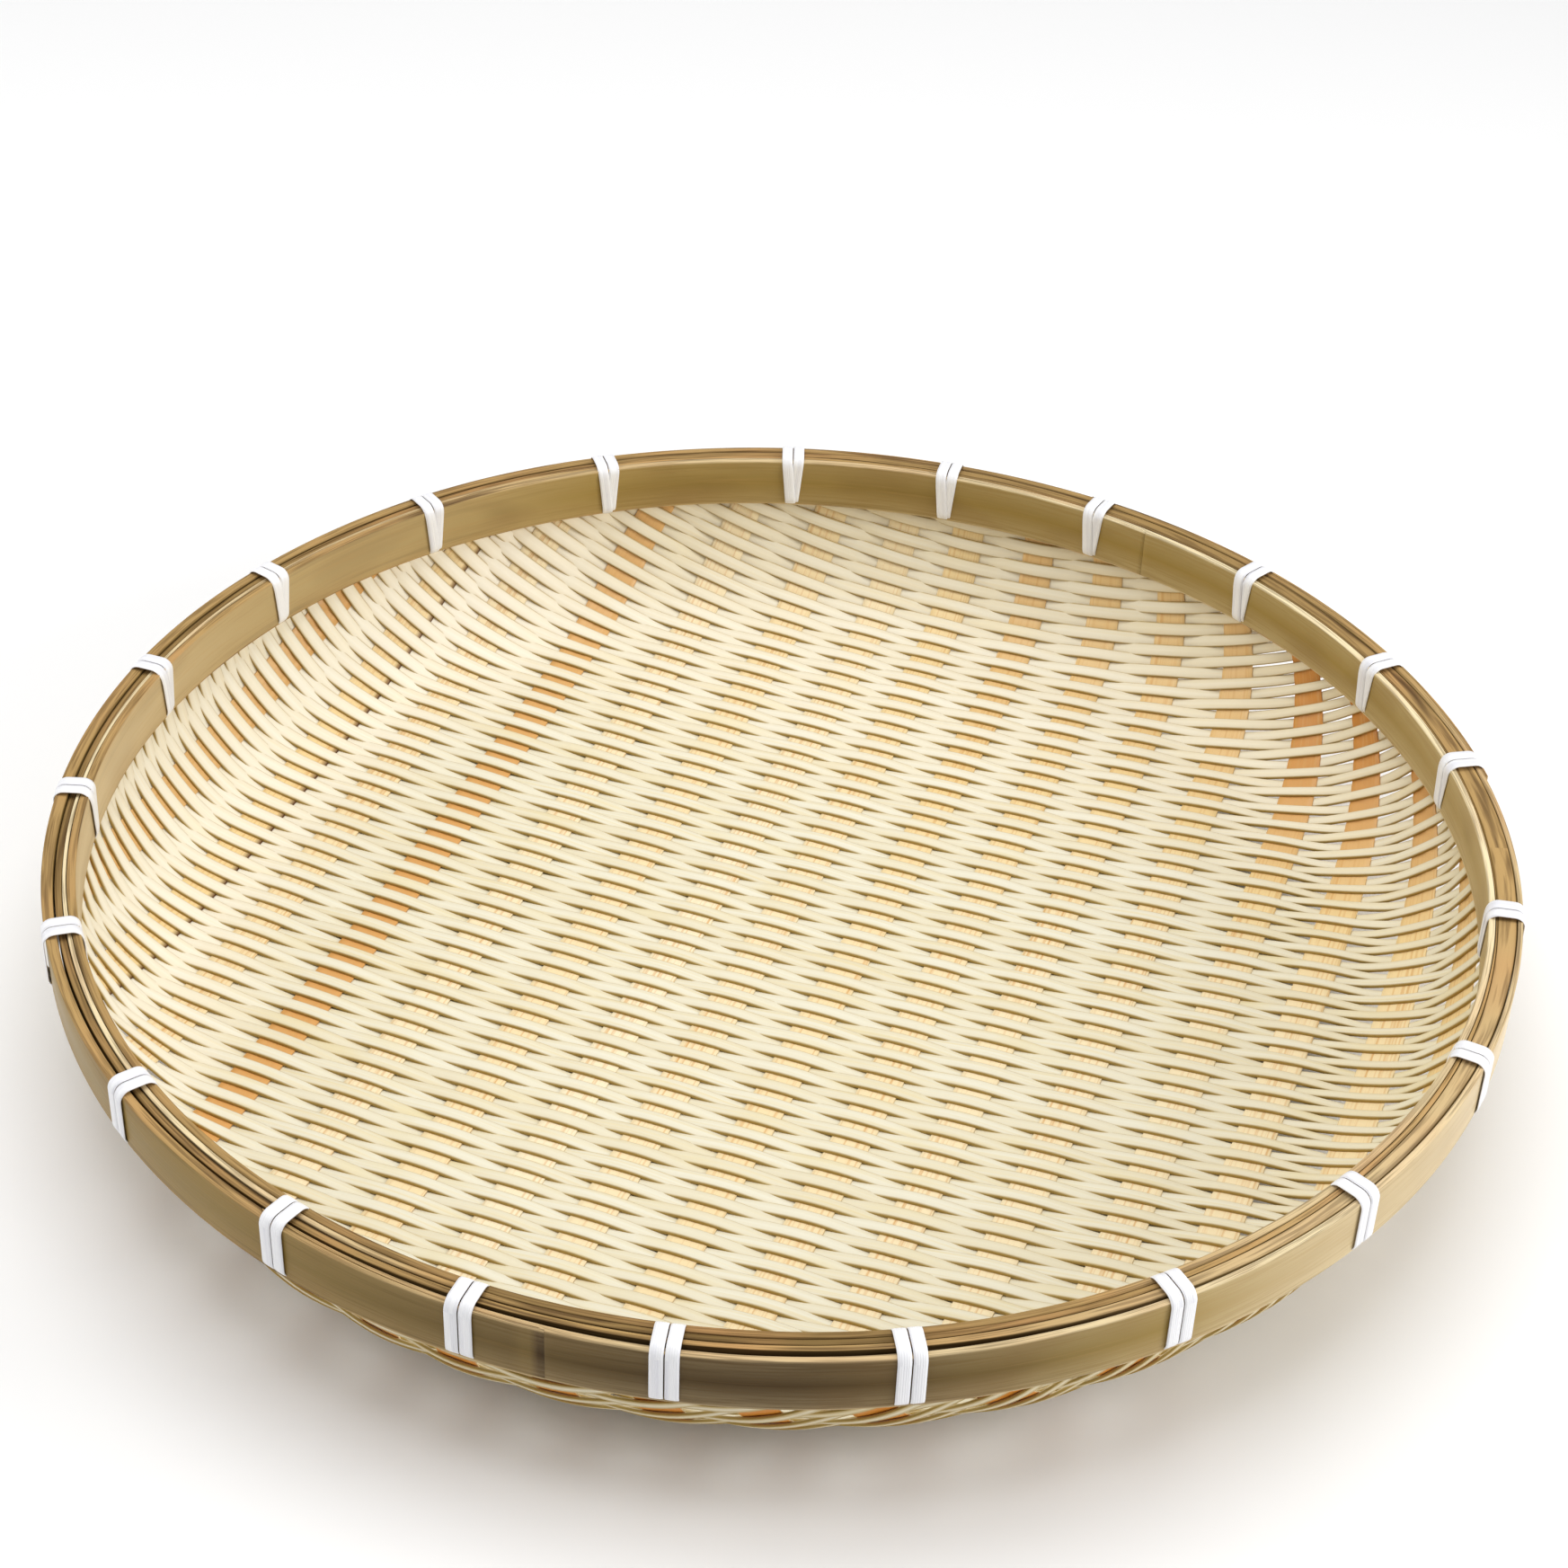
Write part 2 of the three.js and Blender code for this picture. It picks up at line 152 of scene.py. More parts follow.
# %% From sections to a mesh


def strip_mesh(name, strips):
    """One object from strips. Each has points, rows x corners x 3, and may have values for them."""
    points, loops, sizes, uvs = [], [], [], []
    values = {key: [] for key in strips[0] if key not in ("points", "ring")}
    first = 0
    for strip in strips:
        p = strip["points"]
        rows, corners = p.shape[:2]
        ring = strip.get("ring", False)
        row = np.arange(rows if ring else rows - 1)[:, None]
        corner = np.arange(corners)[None, :]
        ahead, beside = (row + 1) % rows, (corner + 1) % corners
        here, there = row * corners, ahead * corners
        quads = np.stack([here + corner, here + beside, there + beside, there + corner], -1)
        middle = p.mean(1)
        along = np.append(0, np.cumsum(np.linalg.norm(np.roll(middle, -1, 0) - middle, axis=1)))
        section = p[rows // 2]
        across = np.append(0, np.cumsum(np.linalg.norm(np.roll(section, -1, 0) - section, axis=1)))
        near, far = along[row] + 0 * corner, along[row + 1] + 0 * corner
        one, two = across[corner] + 0 * row, across[corner + 1] + 0 * row
        uv = np.stack([np.stack(pair, -1) for pair in ((near, one), (near, two), (far, two), (far, one))], 2)
        a, b, c = (p.reshape(-1, 3)[quads[..., i]] for i in (0, 1, 2))
        d = p.reshape(-1, 3)[quads[..., 3]]
        centre = p.reshape(-1, 3).mean(0)
        volume = np.einsum("...i,...i", a - centre, np.cross(b - centre, c - centre)).sum()
        volume += np.einsum("...i,...i", a - centre, np.cross(c - centre, d - centre)).sum()
        flat, flat_uv = quads.reshape(-1, 4), uv.reshape(-1, 4, 2)
        if volume < 0:
            flat, flat_uv = flat[:, ::-1], flat_uv[:, ::-1]
        loops.append((flat + first).ravel())
        uvs.append(flat_uv.reshape(-1, 2))
        sizes.append(np.full(len(flat), 4))
        if not ring:
            start = np.arange(corners)
            end = start + (rows - 1) * corners
            caps = (start[::-1], end) if volume > 0 else (start, end[::-1])
            for cap in caps:
                loops.append(cap + first)
                uvs.append(np.zeros((corners, 2)))
                sizes.append(np.array([corners]))
        points.append(p.reshape(-1, 3))
        for key in values:
            values[key].append(np.broadcast_to(strip[key], (rows, corners)).ravel())
        first += rows * corners
    points, loops, sizes, uvs = (np.concatenate(x) for x in (points, loops, sizes, uvs))
    mesh = bpy.data.meshes.new(name)
    mesh.vertices.add(len(points))
    mesh.vertices.foreach_set("co", points.astype(np.float32).ravel())
    mesh.loops.add(len(loops))
    mesh.loops.foreach_set("vertex_index", loops.astype(np.int32))
    mesh.polygons.add(len(sizes))
    mesh.polygons.foreach_set("loop_start", np.append(0, np.cumsum(sizes)[:-1]).astype(np.int32))
    mesh.uv_layers.new(name="strip").data.foreach_set("uv", uvs.astype(np.float32).ravel())
    for key, found in values.items():
        carried = mesh.attributes.new(key, "FLOAT", "POINT")
        carried.data.foreach_set("value", np.concatenate(found).astype(np.float32))
    mesh.update(calc_edges=True)
    mesh.validate()
    mesh.shade_smooth()
    piece = bpy.data.objects.new(name, mesh)
    scene.collection.objects.link(piece)
    return piece


def put_on_tray(piece, slot, *nodes):
    """The piece rides on the tray's only body and stands for its CAD nodes."""
    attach(piece, "root")
    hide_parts(*nodes)


# %% [markdown]
# ## Shader helpers
# Materials are built from nodes. A few small functions keep that readable:
# they add a node with its inputs, mix two colours, do one sum, read a value
# that the mesh carries and turn a screen colour into a shader's.

# %% Adding nodes


def put(tree, kind, inputs=None, **settings):
    node = tree.nodes.new(kind)
    for key, value in settings.items():
        setattr(node, key, value)
    for socket, value in (inputs or {}).items():
        if isinstance(value, bpy.types.NodeSocket):
            tree.links.new(value, node.inputs[socket])
        else:
            node.inputs[socket].default_value = value
    return node


def mixed(tree, share, one, two):
    """The colour between one and two. Sockets 6 and 7 are a Mix node's two colours."""
    return put(tree, "ShaderNodeMix", {0: share, 6: one, 7: two}, data_type="RGBA").outputs[2]


def math_node(tree, operation, one, two=0.0):
    return put(tree, "ShaderNodeMath", {0: one, 1: two}, operation=operation).outputs[0]


def measured(tree, name):
    """A value that the mesh carries at its points."""
    return put(tree, "ShaderNodeAttribute", attribute_name=name).outputs["Fac"]


def srgb(red, green, blue):
    """A colour as read off a screen, 0 to 255, for a shader."""
    parts = (red, green, blue)
    return tuple(((c / 255 + 0.055) / 1.055) ** 2.4 if c > 10 else c / 3294 for c in parts) + (1,)


# %% [markdown]
# ## Bamboo grain
# Split bamboo shows long fibres, darker streaks and soft blotches. One group
# makes all three from noise that is stretched along the strip. Each strip has
# its own random number, so no two have the same streaks.

# %% Grain group
STRAND_SHIFT = 37.0
STREAK_SHARE = 0.3
STREAK_STRETCH = 0.35
BLOTCHES_ALONG = 28.0
BLOTCHES_ACROSS = 60.0
grain = bpy.data.node_groups.new("bamboo_grain", "ShaderNodeTree")
for label in ("Fibres per metre", "Streak length"):
    grain.interface.new_socket(name=label, in_out="INPUT", socket_type="NodeSocketFloat")
for label in ("Fibres", "Streaks", "Blotches"):
    grain.interface.new_socket(name=label, in_out="OUTPUT", socket_type="NodeSocketFloat")
given = put(grain, "NodeGroupInput")
place = put(grain, "ShaderNodeSeparateXYZ", {0: put(grain, "ShaderNodeUVMap", uv_map="strip").outputs[0]})
strand = math_node(grain, "MULTIPLY", measured(grain, "strand"), STRAND_SHIFT)


def stretched_noise(along, across, detail):
    at = put(grain, "ShaderNodeCombineXYZ", {0: along, 1: across, 2: strand}).outputs[0]
    return put(grain, "ShaderNodeTexNoise", {"Vector": at, "Scale": 1.0, "Detail": detail}).outputs[0]


per_metre = given.outputs["Fibres per metre"]
lengthwise = math_node(grain, "DIVIDE", place.outputs[0], given.outputs["Streak length"])
fibres = stretched_noise(lengthwise, math_node(grain, "MULTIPLY", place.outputs[1], per_metre), 2.0)
wide = math_node(grain, "MULTIPLY", place.outputs[1], math_node(grain, "MULTIPLY", per_metre, STREAK_SHARE))
streaks = stretched_noise(math_node(grain, "MULTIPLY", lengthwise, STREAK_STRETCH), wide, 2.0)
blotch_along = math_node(grain, "MULTIPLY", place.outputs[0], BLOTCHES_ALONG)
blotch_across = math_node(grain, "MULTIPLY", place.outputs[1], BLOTCHES_ACROSS)
blotches = stretched_noise(blotch_along, blotch_across, 1.0)
put(grain, "NodeGroupOutput", {"Fibres": fibres, "Streaks": streaks, "Blotches": blotches})


def new_material(name):
    """An empty material, its node tree and the socket that its surface goes to."""
    made = bpy.data.materials.new(name)
    made.use_nodes = True
    made.node_tree.nodes.clear()
    output = put(made.node_tree, "ShaderNodeOutputMaterial")
    return made, made.node_tree, output.inputs["Surface"]


def grain_in(tree, per_metre, length):
    used = put(tree, "ShaderNodeGroup", node_tree=grain)
    used.inputs["Fibres per metre"].default_value = per_metre
    used.inputs["Streak length"].default_value = length
    return used.outputs


def bumped(tree, height, distance):
    return put(tree, "ShaderNodeBump", {"Height": height, "Distance": distance}).outputs[0]


def satin(tree, colour, roughness, specular):
    inputs = {"Base Color": colour, "Roughness": roughness, "Specular IOR Level": specular}
    return put(tree, "ShaderNodeBsdfPrincipled", inputs)


def between(tree, value, low, high):
    """0 below low, 1 above high and a straight ramp between them."""
    return put(tree, "ShaderNodeMapRange", {0: value, 1: low, 2: high}).outputs[0]


print("grain group:", len(grain.nodes), "nodes")

# %% [markdown]
# ## The splints' finish
# The narrow wefts are peeled ivory bamboo. Their sides and undersides are
# painted darker, a painted shade that draws the fine brown lines of the weave.
# They turn a little khaki on the right and on the back wall, and painted light
# makes them creamier on the left and at the back. The wide warps are thinner
# and yellower, and a few still carry the orange or brown of the outer skin. At
# the front their undersides are amber.

# %% Weft and warp materials
weft_finish, tree, surface = new_material("weft_bamboo")
look = grain_in(tree, 2600, 0.03)
ivory = mixed(tree, measured(tree, "strand"), srgb(232, 227, 206), srgb(227, 218, 190))
ivory = mixed(tree, between(tree, look["Streaks"], 0.5, 0.85), ivory, srgb(226, 210, 164))
ivory = mixed(tree, between(tree, look["Blotches"], 0.55, 0.9), ivory, srgb(228, 214, 170))
ivory = mixed(tree, measured(tree, "khaki"), ivory, srgb(226, 204, 146))
# Painted light: the wefts are lightened to cream on the left wall and at the back.
ivory = mixed(tree, measured(tree, "painted_light"), ivory, srgb(252, 243, 224))
# Painted shade: the wefts' sides and undersides are darkened olive-brown, for the shade in the slits of the
# weave.
ivory = mixed(tree, measured(tree, "side"), ivory, srgb(174, 146, 78))
weft_shader = satin(tree, ivory, 0.5, 0.35)
tree.links.new(bumped(tree, look["Fibres"], 0.04 * MM), weft_shader.inputs["Normal"])
tree.links.new(weft_shader.outputs[0], surface)

warp_finish, tree, surface = new_material("warp_bamboo")
look = grain_in(tree, 3000, 0.03)
tint = measured(tree, "tint")
warm = mixed(tree, between(tree, tint, 0.0, 0.5), srgb(244, 231, 197), srgb(237, 208, 148))
warm = mixed(tree, between(tree, tint, 0.5, 1.0), warm, srgb(204, 130, 40))
warm = mixed(tree, between(tree, look["Streaks"], 0.5, 0.8), warm, srgb(214, 164, 96))
warm = mixed(tree, measured(tree, "outer"), warm, srgb(206, 132, 44))
warm = mixed(tree, measured(tree, "stain"), warm, srgb(88, 52, 24))
warp_shader = satin(tree, warm, 0.4, 0.4)
tree.links.new(bumped(tree, look["Fibres"], 0.05 * MM), warp_shader.inputs["Normal"])
tree.links.new(warp_shader.outputs[0], surface)
print("materials:", weft_finish.name, warp_finish.name)

# %% [markdown]
# ## The dish
# The mat is woven flat and then pressed into shape, so a place on it is given
# as u along the wefts and v across them, measured on the flat mat. A meridian
# says how the dish rises with the distance from the centre: a shallow middle,
# a rounded corner, a steep wall and the upright edge inside the rim. The
# slope is smoothed and then added up, so that the mat has no kink.

# %% The mat's middle surface
MAT_RADIUS = 233.65 * MM
CORNER_RADIUS = 44 * MM
WALL = math.radians(85)
DISH_EDGE = math.radians(7)
DISH_RADIUS = MAT_RADIUS - CORNER_RADIUS * (math.sin(WALL) - math.sin(DISH_EDGE))
MAT_EDGE = DISH_RADIUS + CORNER_RADIUS * (WALL - DISH_EDGE)
EDGE_RISE = 8.5 * MM
MAT_END = MAT_EDGE + EDGE_RISE
CENTRE_Z = 1.45 * MM
WEAVE_TURN = math.radians(-19.3)
WALL_INSERT = 0.4 * MM
FLOOR_GAP = 0.02 * MM
KINK = 6 * MM
SMOOTHED = 12 * MM
LONGEST = 0.27

step = 0.2 * MM
distances = np.arange(0, LONGEST, step)
slopes = np.arctan(math.tan(DISH_EDGE) * (distances / DISH_RADIUS) ** 2)
slopes = np.where(distances > DISH_RADIUS, DISH_EDGE + (distances - DISH_RADIUS) / CORNER_RADIUS, slopes)
slopes = np.where(distances > MAT_EDGE, math.pi / 2, slopes)
window = np.ones(int(KINK / step)) / int(KINK / step)
smooth = np.convolve(np.pad(slopes, len(window), mode="edge"), window, mode="same")[len(window):-len(window)]
slopes = np.where(distances > MAT_EDGE - SMOOTHED, smooth, slopes)
radii = np.append(0, np.cumsum(np.cos(slopes[:-1]) * step))
radii *= MAT_RADIUS / radii[-1]
heights = CENTRE_Z + np.append(0, np.cumsum(np.sin(slopes[:-1]) * step))
edge_height = np.interp(MAT_EDGE, distances, heights)
heights = CENTRE_Z + (heights - CENTRE_Z) * (HOOP_BOTTOM + WALL_INSERT - CENTRE_Z) / (edge_height - CENTRE_Z)


def on_mat(u, v, lift):
    """Points of the flat mat, bent into the dish and lifted towards the inside."""
    s = np.hypot(u, v)
    slope = np.interp(s, distances, slopes)
    r = np.interp(s, distances, radii) - lift * np.sin(slope)
    z = np.interp(s, distances, heights) + lift * np.cos(slope)
    angle = np.arctan2(v, u) + WEAVE_TURN
    return np.stack([r * np.cos(angle), r * np.sin(angle), np.maximum(z, FLOOR_GAP)], -1)


dish_edge_height = np.interp(MAT_EDGE, distances, heights)
print("dish:", round(heights[0] / MM, 2), "to", round(dish_edge_height / MM, 2), "mm high")

# %% [markdown]
# ## Warps
# Sixteen wide, thin splints run one way through the mat. They were laid by
# hand, so their steps are uneven. The wefts press them into a fine ripple.
# Each splint has one tint for its front and one for its back, a share between
# the palest and the brownest bamboo. They were judged from the photograph's
# mean colour along each warp and from close looks at it.

# %% Warps
rng = np.random.default_rng(19)
WARP_WIDTH = 13 * MM
WARP_THICKNESS = 0.6 * MM
WARP_RIPPLE = 0.2 * MM
WARP_ROW = 1.4 * MM
# The first warp's place and the steps from warp to warp, in millimetres.
FIRST_WARP = -228
END_STEP = 30 * MM
WARP_STEPS = [30, 27, 34, 34, 34, 31, 27, 31, 31, 29, 31, 33, 28, 30, 26]
WARP_PLACES = (FIRST_WARP + np.cumsum([0, *WARP_STEPS])) * MM
WARP_TINTS = [0.72, 0.5, 0.3, 0.85, 0.15, 0.28, 0.05, 0.2, 0.3, 0.25, 0.18, 0.18, 0.18, 0.22, 0.32, 0.52]
BACK_TINTS = [0.9, 0.4, 0.2, 0.75, 0.2, 0.35, 0.25, 0.45, 0.65, 0.6, 0.6, 0.65, 0.95, 1.0, 1.0, 0.9]
STAINED_WARP = 1
WEFT_PITCH = 4.2 * MM
WEFTS = 123
FIRST_WEFT = -(WEFTS - 1) / 2 * WEFT_PITCH


def soft_step(x, low, high):
    t = np.clip((x - low) / (high - low), 0, 1)
    return t * t * (3 - 2 * t)


def column(u):
    """Counts the warps along u: 0 at the first, 1 at the second, and on between and past them."""
    ends = (WARP_PLACES[0] - END_STEP, WARP_PLACES[-1] + END_STEP)
    return np.interp(u, [ends[0], *WARP_PLACES, ends[1]], np.arange(-1, len(WARP_PLACES) + 1))


flat_profile = np.array([
    (-1, 0), (-0.97, 0.8), (-0.6, 1), (0.6, 1), (0.97, 0.8),
    (1, 0), (0.97, -0.8), (0.6, -1), (-0.6, -1), (-0.97, -0.8),
])
for number, u0 in enumerate(WARP_PLACES):
    u = u0 + flat_profile[None, :, 0] * WARP_WIDTH / 2 * (1 + rng.uniform(-0.04, 0.04))
    end = np.sqrt(MAT_END ** 2 - u ** 2)
    rows = int(2 * end.max() / WARP_ROW)
    v = np.linspace(-1, 1, rows)[:, None] * end
    ripple = -((-1) ** number) * WARP_RIPPLE * np.cos(np.pi * (v - FIRST_WEFT) / WEFT_PITCH)
    lift = ripple + flat_profile[None, :, 1] * WARP_THICKNESS / 2
    stain = np.where(flat_profile[:, 0] > 0.9, 1.0, 0.0) if number == STAINED_WARP else 0.0
    tint = WARP_TINTS[number] + (BACK_TINTS[number] - WARP_TINTS[number]) * soft_step(v, 0.02, 0.2)
    outer = np.where(flat_profile[None, :, 1] < 0, 1.0, 0.0) * soft_step(-v, 0.1, 0.16)
    points = on_mat(u + 0 * v, v, lift)
    warp = {"points": points, "strand": rng.random(), "tint": tint, "stain": stain, "outer": outer}
    piece = strip_mesh(f"warp_splint_{number + 1:02d}", [warp])
    piece.data.materials.append(warp_finish)
    put_on_tray(piece, "warp", f"warp_{number + 1:02d}")
print("warps:", len(WARP_PLACES))

# %% [markdown]
# ## Wefts
# 123 narrow splints cross the warps, each over one and under the next. The
# CAD model has 99, which lie further apart. They do most of the bending and
# swing evenly from over one warp to under the next. On the right wall and the
# front wall they are thinner, with gaps between them, and on the left wall
# they are wider. The two sets that alternate replace the CAD model's two.

# %% Wefts
WEFT_WIDTH = 4.95 * MM
WEFT_THICKNESS = 1.4 * MM
CREST = 1.08 * MM
WEFT_ROW = 3.4 * MM
RIGHT_THINNER, FRONT_THINNER, LEFT_WIDER = 0.26, 0.32, 0.17
MIDDLE_DEPTH, EDGE_LESS, FRONT_LESS = 1.25, 0.25, 0.4
ANY_PHASE = 6.3
domed_profile = np.array([
    (-1, -0.85), (-1, 0.25), (-0.93, 0.62), (-0.75, 0.86), (0, 1), (0.75, 0.86),
    (0.93, 0.62), (1, 0.25), (1, -0.85), (0.9, -1), (0, -1), (-0.9, -1),
])
# How much painted shade each corner of a weft's section gets: full on the sides and at the underside's
# corners, little at its middle, none on top.
painted_shade_share = np.array([1, 1, 0.7, 0.12, 0, 0.12, 0.7, 1, 1, 0.9, 0.15, 0.9])


def weft(number):
    v0 = FIRST_WEFT + number * WEFT_PITCH
    end = math.sqrt(MAT_END ** 2 - v0 ** 2)
    u = np.linspace(-end, end, int(2 * end / WEFT_ROW) + 2)[:, None]
    swing = np.cos(np.pi * column(u))
    lift = (-1) ** number * CREST * swing
    bends = ((0.16 * MM, 0.031), (0.1 * MM, 0.012))
    wobble = sum(size * np.sin(u / length + rng.uniform(0, ANY_PHASE)) for size, length in bends)
    reach = np.hypot(u, v0)
    right_wall = soft_step(u, 0.06, 0.16) * soft_step(reach, 0.15, 0.19) * soft_step(v0, -0.14, -0.04)
    front_wall = soft_step(reach, 0.2, 0.215) * soft_step(-v0, 0.08, 0.16)
    left_wall = soft_step(-u, 0.12, 0.18) * soft_step(reach, 0.17, 0.21)
    slim = 1 - RIGHT_THINNER * right_wall - FRONT_THINNER * front_wall + LEFT_WIDER * left_wall
    width = WEFT_WIDTH * slim * (1 + rng.uniform(-0.05, 0.03))
    v = v0 + wobble + domed_profile[None, :, 0] * width / 2
    depth = MIDDLE_DEPTH - EDGE_LESS * soft_step(reach, 0.19, 0.22) - FRONT_LESS * front_wall
    section = domed_profile[None, :, 1]
    lifted = lift + np.where(section < 0, section * depth, section) * WEFT_THICKNESS / 2
    khaki_back = 0.2 * soft_step(v0, 0.12, 0.2) * soft_step(reach, 0.2, 0.225)
    khaki = khaki_back + 0.2 * soft_step(u, 0.0, 0.2) * soft_step(reach, 0.12, 0.22)
    # Painted light on the left wall and at the back.
    painted_light = 0.45 * soft_step(-u, 0.12, 0.19) * soft_step(reach, 0.15, 0.2) + 0.35 * soft_step(v0, 0.06, 0.17)
    points = on_mat(u + 0 * v, v, lifted)
    # The sides and undersides get painted shade.
    side = painted_shade_share[None, :]
    return {"points": points, "strand": rng.random(), "side": side, "khaki": khaki, "painted_light": painted_light}


sets = {"wefts_on_outer_splint": [], "wefts_on_inner_splint": []}
for number in range(WEFTS):
    sets["wefts_on_outer_splint" if number % 2 else "wefts_on_inner_splint"].append(weft(number))
for node, wefts in sets.items():
    piece = strip_mesh(node.replace("_on_", "_of_"), wefts)
    piece.data.materials.append(weft_finish)
    put_on_tray(piece, "weft", node)
    print(piece.name, len(wefts), "wefts,", len(piece.data.polygons), "faces")

# %% [markdown]
# ## The rim's finish
# The hoops are split from a thick cane. Their broad faces keep the olive skin
# with its soft gloss, and their cut edges show coarse brown fibres. A mask on
# the mesh says where a strip is cut, and a tone says how pale it is. The tone
# also carries painted light: painted shade darkens the walls hidden in the
# gaps between strips and the front of the outer hoop, and a painted sheen
# makes the outer hoop paler on the right.

# %% Rim material
rim_finish, tree, surface = new_material("rim_bamboo")
look = grain_in(tree, 1700, 0.022)
tone = measured(tree, "tone")
pale = measured(tree, "pale")
cut = measured(tree, "cut")
# Tones below 0 darken towards near black; they are painted shade on walls hidden between strips.
skin = mixed(tree, between(tree, tone, -0.5, 0.0), srgb(30, 19, 6), srgb(64, 44, 12))
skin = mixed(tree, between(tree, tone, 0.0, 0.5), skin, srgb(159, 133, 71))
skin = mixed(tree, between(tree, tone, 0.5, 1.0), skin, srgb(236, 216, 180))
wear = put(tree, "ShaderNodeMapRange", {0: tone, 1: 0.5, 2: 0.9, 3: 0.4, 4: 0.06}).outputs[0]
worn = mixed(tree, wear, skin, srgb(96, 70, 36))
skin = mixed(tree, between(tree, look["Blotches"], 0.5, 0.85), skin, worn)
line_share = put(tree, "ShaderNodeMapRange", {0: tone, 1: 0.0, 2: 0.6, 3: 0.05, 4: 0.25}).outputs[0]
fine_line = mixed(tree, line_share, skin, srgb(190, 152, 96))
skin = mixed(tree, between(tree, look["Fibres"], 0.5, 0.7), skin, fine_line)
fibre = mixed(tree, between(tree, pale, 0.0, 0.5), srgb(104, 82, 42), srgb(184, 150, 96))
fibre = mixed(tree, between(tree, pale, 0.5, 1.0), fibre, srgb(238, 220, 178))
brown_fibre = mixed(tree, 0.4, fibre, srgb(200, 148, 96))
fibre = mixed(tree, between(tree, look["Blotches"], 0.45, 0.75), fibre, brown_fibre)
dark_fibre = mixed(tree, 0.45, fibre, srgb(74, 50, 22))
fibre = mixed(tree, between(tree, look["Fibres"], 0.47, 0.62), fibre, dark_fibre)
not_pale = between(tree, pale, 0.95, 0.6)
crack = math_node(tree, "MULTIPLY", between(tree, look["Streaks"], 0.56, 0.68), not_pale)
fibre = mixed(tree, math_node(tree, "MULTIPLY", crack, 0.7), fibre, srgb(62, 38, 18))
rim_colour = mixed(tree, cut, skin, fibre)
rim_roughness = put(tree, "ShaderNodeMapRange", {0: cut, 1: 0.0, 2: 1.0, 3: 0.32, 4: 0.62}).outputs[0]
rim_height = math_node(tree, "MULTIPLY", look["Fibres"], math_node(tree, "ADD", cut, 0.15))
rim_shader = satin(tree, rim_colour, rim_roughness, 0.12)
tree.links.new(bumped(tree, rim_height, 0.25 * MM), rim_shader.inputs["Normal"])
tree.links.new(rim_shader.outputs[0], surface)
print("material:", rim_finish.name)

# %% [markdown]
# ## Hoops and fillers
# From outside to inside the rim has an outer hoop, two thin fillers that fill
# the slot above the mat, and an inner hoop. Nothing in it is even: the strips
# get thicker and thinner on their way round. Their radii are read off at
# eight places and run smoothly between them. The tones further down, also
# eight numbers each, were set to come near the photograph.

# %% Radii round the rim
ROUND = np.radians([0, 45, 90, 135, 180, 225, 270, 315, 360])
STRIP_GAP = 0.15 * MM


def round_rim(angle, *values):
    """A smooth value between eight given ones, which start at the right and go round by the back."""
    values = np.array([*values, values[0]])
    turn = np.mod(angle, 2 * np.pi)
    part = np.clip(np.searchsorted(ROUND, turn, side="right") - 1, 0, 7)
    share = soft_step(turn, ROUND[part], ROUND[part + 1])
    return values[part] * (1 - share) + values[part + 1] * share


def outer_hoop_inside(angle):
    return round_rim(angle, 238.2, 237.2, 236.9, 236.3, 235.8, 236.8, 237.8, 237.6) * MM


def outer_filler_outside(angle):
    return round_rim(angle, 238.0, 237.0, 236.6, 236.0, 235.5, 235.8, 235.5, 237.2) * MM


def outer_filler_inside(angle):
    return round_rim(angle, 231.6, 232.8, 233.6, 233.4, 233.2, 233.4, 233.6, 233.2) * MM


def inner_filler_inside(angle):
    return round_rim(angle, 231.2, 231.6, 231.8, 231.8, 231.9, 231.5, 231.3, 231.3) * MM


def inner_hoop_inside(angle):
    return round_rim(angle, 228.9, 228.8, 228.8, 228.8, 228.8, 228.7, 228.7, 228.8) * MM


# %% One bent strip of the rim
box_profile = np.array([
    (0, 0.04), (0.06, 0), (0.94, 0), (1, 0.04), (1, 0.5), (1, 0.96),
    (0.94, 1), (0.6, 1), (0.3, 1), (0.06, 1), (0, 0.96), (0, 0.5),
])
cut_corners = np.array([0.3, 1, 1, 0.3, 0, 0.2, 1, 1, 1, 1, 0.2, 0])
# Painted shade on the walls hidden between the rim's strips, eight tones round the rim, darkest at the back
# and the front.
GAP_SHADE_TONES = (0.3, 0.0, -0.5, 0.0, 0.1, 0.0, -0.5, 0.3)


def rim_strip(angles, inside, outside, bottom, top, tone, pale, hidden=(), ring=True):
    """A strip between two radii and two heights, each given for every angle. Its hidden walls get painted
    shade.
    """
    angles = angles[:, None]
    r = inside[:, None] + (outside - inside)[:, None] * box_profile[None, :, 0]
    z = bottom[:, None] + (top - bottom)[:, None] * box_profile[None, :, 1]
    points = np.stack([r * np.cos(angles), r * np.sin(angles), z], -1)
    tones = np.tile(np.broadcast_to(tone, angles[:, 0].shape)[:, None], len(box_profile))
    # Painted shade on the hidden walls.
    for wall in hidden:
        tones[:, box_profile[:, 0] == wall] = round_rim(angles, *GAP_SHADE_TONES)
    pales = np.broadcast_to(pale, angles[:, 0].shape)[:, None]
    made = {"points": points, "ring": ring, "strand": rng.random()}
    return made | {"cut": cut_corners[None, :], "tone": tones, "pale": pales}


def waves(angle, size, *counts):
    """A gentle unevenness that closes on itself."""
    return size * sum(np.sin(count * angle + rng.uniform(0, ANY_PHASE)) for count in counts) / len(counts)


# %% [markdown]
# Each hoop is one long strip whose two ends lap over each other. Both ends
# are shaved thin, so the lap is hardly thicker than the hoop. The outer hoop's
# top end stops in front with a small step. A thin extra strip lies on its
# right side.

# %% Hoops
OUTER_LAP = math.radians(233.1)
INNER_LAP = math.radians(55)
LAP = math.radians(22.5)
TIP = 0.9 * MM
LAP_GAP = 0.1 * MM
SHAVED_END = math.radians(2.2)
ROWS_PER_TURN = 720


